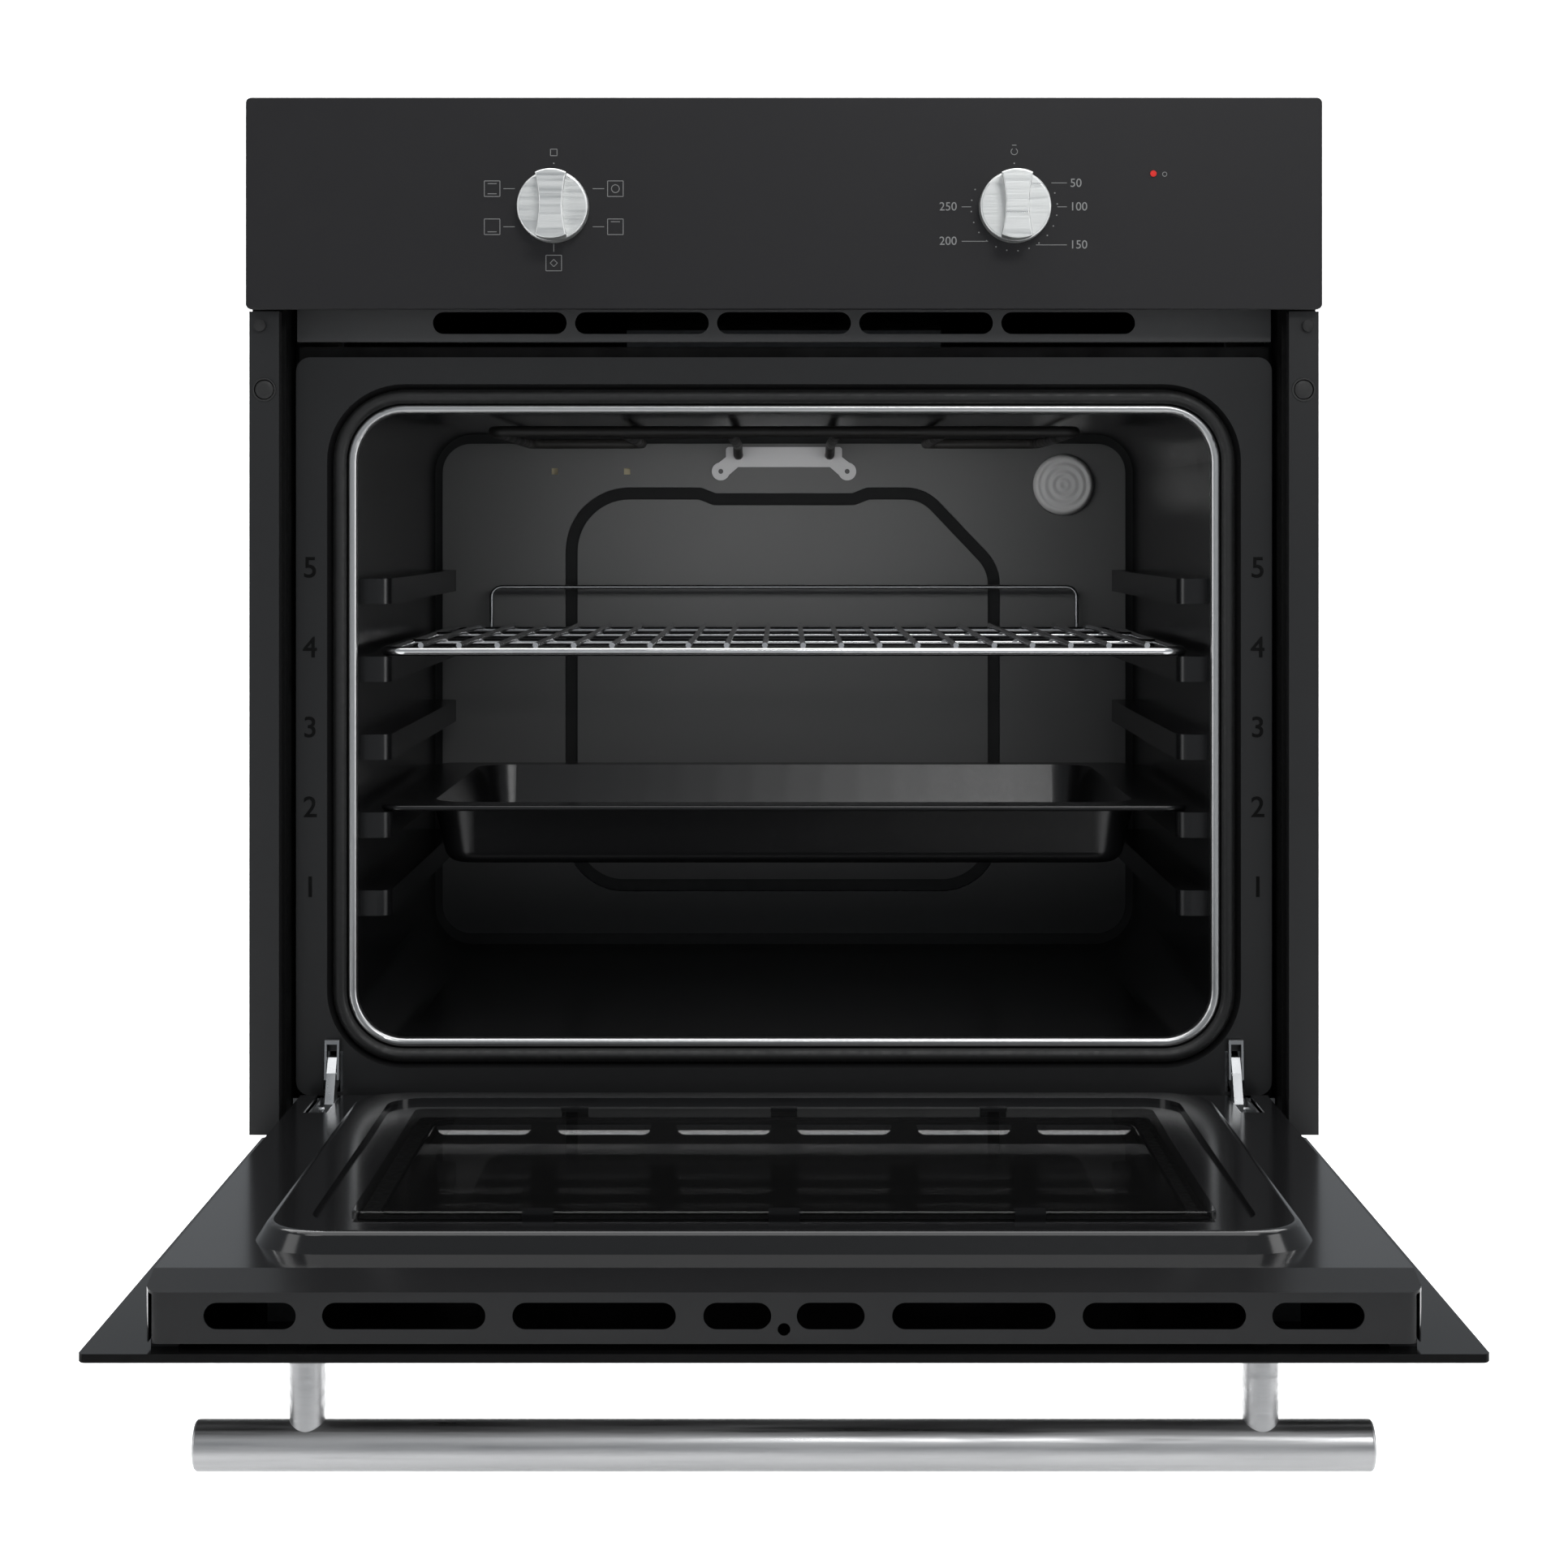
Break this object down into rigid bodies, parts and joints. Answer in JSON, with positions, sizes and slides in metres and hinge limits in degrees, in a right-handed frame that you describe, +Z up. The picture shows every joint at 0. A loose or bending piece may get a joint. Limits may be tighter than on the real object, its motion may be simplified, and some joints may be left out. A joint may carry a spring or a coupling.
{
  "type": "wall oven",
  "caption": "Built-in wall oven with its drop-down glass door open, showing the enamelled cavity, wire rack, baking tray and control panel.",
  "frame": {"origin": "centre of the base plate's underside, where the oven stands on its shelf", "axes": "+X to the user's right, +Y from the front into the oven, +Z up"},
  "size_m": [0.594, 0.979, 0.6449],
  "materials": {
    "black_enamel": "gloss black enamel",
    "cavity_enamel": "gloss black vitreous enamel",
    "back_enamel": "dark grey vitreous enamel",
    "tray_enamel": "gloss black vitreous enamel",
    "door_enamel": "gloss black enamel",
    "black_duct": "matt black paint",
    "dark_grey_paint": "satin dark grey paint",
    "black_plastic": "matt moulded black plastic",
    "white_plastic": "matt moulded white plastic",
    "black_rubber": "matt rubber",
    "seal_rubber": "silicone seal",
    "silicone": "cured silicone bead",
    "element_steel": "oxidised element sheath",
    "satin_steel": "satin stainless steel",
    "zinc_steel": "bright zinc plating",
    "spring_steel": "oiled spring steel",
    "handle_steel": "brushed stainless steel",
    "knob_steel": "satin metal",
    "galvanised": "galvanised sheet",
    "motor_iron": "laminated iron",
    "satin_aluminium": "satin aluminium",
    "copper": "drawn copper",
    "rack_chrome": "chrome-plated wire",
    "glass_wool": "glass-wool blanket",
    "lamp_glass": "clear ribbed glass",
    "fascia_glass": "back-printed dark grey glass",
    "door_glass": "back-printed black glass",
    "inner_glass": "tinted heat-reflecting glass",
    "middle_glass": "clear tempered glass",
    "red_lens": "translucent red lens"
  },
  "bodies": {
    "oven": {"air_duct": "black_duct", "base_plate": "galvanised", "blower_housing": "galvanised", "blower_motor": "motor_iron", "casing_screws": "zinc_steel", "cavity_back_wall": "back_enamel", "cavity_front_plate": "black_enamel", "cavity_shell": "cavity_enamel", "columns": "black_enamel", "door_buffers": "black_rubber", "door_gasket": "seal_rubber", "element_plate": "satin_steel", "fascia_carrier": "black_enamel", "fascia_glass": "fascia_glass", "floor_element": "element_steel", "front_frame": "black_duct", "function_switch": "white_plastic", "hinge_arms": "zinc_steel", "hinge_pins": "zinc_steel", "hinge_receivers": "galvanised", "indicator_body": "black_plastic", "indicator_lens": "red_lens", "insulation_rear": "glass_wool", "insulation_wrap": "glass_wool", "lamp_bulb": "lamp_glass", "lamp_glass": "lamp_glass", "lamp_holder": "galvanised", "rear_panel": "galvanised", "roof_element": "element_steel", "screw_cups": "black_plastic", "side_panels": "galvanised", "terminal_block": "white_plastic", "terminal_box": "black_plastic", "thermostat_body": "white_plastic", "thermostat_capillary": "copper", "top_cover": "galvanised", "vent_strip": "dark_grey_paint"},
    "door": {"door_outer_pane": "door_glass", "door_tub": "door_enamel", "door_inner_pane": "inner_glass", "inner_pane_seal": "seal_rubber", "inner_pane_clips": "door_enamel", "door_middle_pane": "middle_glass", "middle_pane_rails": "black_plastic", "bonding_strips": "silicone", "hinge_cases": "zinc_steel", "spring_rods": "zinc_steel", "hinge_springs": "spring_steel", "handle_bar": "handle_steel", "handle_posts": "handle_steel", "handle_screws": "zinc_steel"},
    "function_control": {"function_knob": "knob_steel", "function_spindle": "black_plastic"},
    "thermostat_control": {"thermostat_knob": "knob_steel", "thermostat_spindle": "zinc_steel"},
    "rack": {"wire_rack": "rack_chrome"},
    "tray": {"baking_tray": "tray_enamel"},
    "blower": {"blower_rotor": "satin_aluminium"},
    "lock_right": {"hinge_lock_right": "zinc_steel"},
    "lock_left": {"hinge_lock_left": "zinc_steel"}
  },
  "joints": [
    {"name": "door_hinge", "type": "hinge", "parent": "oven", "child": "door", "pos_m": [0, -0.2738, 0.0143], "axis": [-1, 0, 0], "range_deg": [0, 90]},
    {"name": "function_knob_turn", "type": "hinge", "parent": "oven", "child": "function_control", "pos_m": [-0.127, -0.311, 0.5165], "axis": [0, 1, 0], "continuous": true},
    {"name": "thermostat_knob_turn", "type": "hinge", "parent": "oven", "child": "thermostat_control", "pos_m": [0.127, -0.311, 0.5165], "axis": [0, 1, 0], "range_deg": [0, 270]},
    {"name": "rack_slide", "type": "slide", "parent": "oven", "child": "rack", "axis": [0, 1, 0], "range_m": [-0.33, 0]},
    {"name": "tray_slide", "type": "slide", "parent": "oven", "child": "tray", "axis": [0, 1, 0], "range_m": [-0.29, 0]},
    {"name": "blower_spin", "type": "hinge", "parent": "oven", "child": "blower", "pos_m": [0, 0.031, 0.492], "axis": [1, 0, 0], "continuous": true},
    {"name": "lock_right_flip", "type": "hinge", "parent": "oven", "child": "lock_right", "pos_m": [0.254, -0.266, 0.033], "axis": [-1, 0, 0], "range_deg": [-80, 0]},
    {"name": "lock_left_flip", "type": "hinge", "parent": "oven", "child": "lock_left", "pos_m": [-0.254, -0.266, 0.033], "axis": [-1, 0, 0], "range_deg": [-80, 0]}
  ]
}
